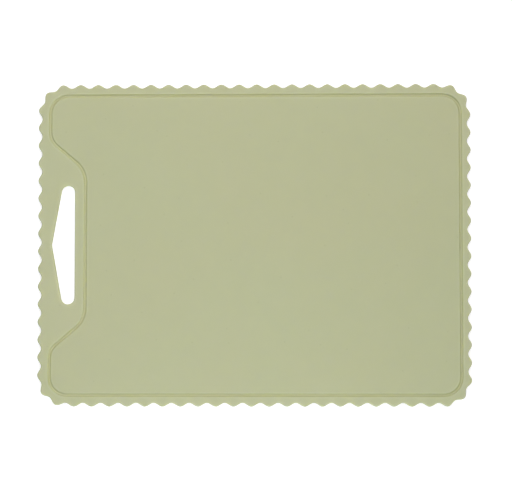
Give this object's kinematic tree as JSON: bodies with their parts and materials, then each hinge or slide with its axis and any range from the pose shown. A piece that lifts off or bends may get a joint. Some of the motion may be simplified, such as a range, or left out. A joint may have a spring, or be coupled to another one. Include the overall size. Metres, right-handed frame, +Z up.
{
  "type": "silicone cutting board",
  "caption": "Flexible rectangular kitchen cutting board moulded in one piece of silicone, with a waved rim, a juice groove and a slanted hand hole at one end.",
  "frame": {"origin": "middle of the flat underside, on the surface that the board lies on", "axes": "+X along the board's length, away from the hand hole; +Y across the board; +Z up, out of the face with the juice groove"},
  "size_m": [0.35, 0.2606, 0.004],
  "materials": {
    "silicone": "matte"
  },
  "bodies": {
    "root": {"board": "silicone"}
  },
  "joints": []
}
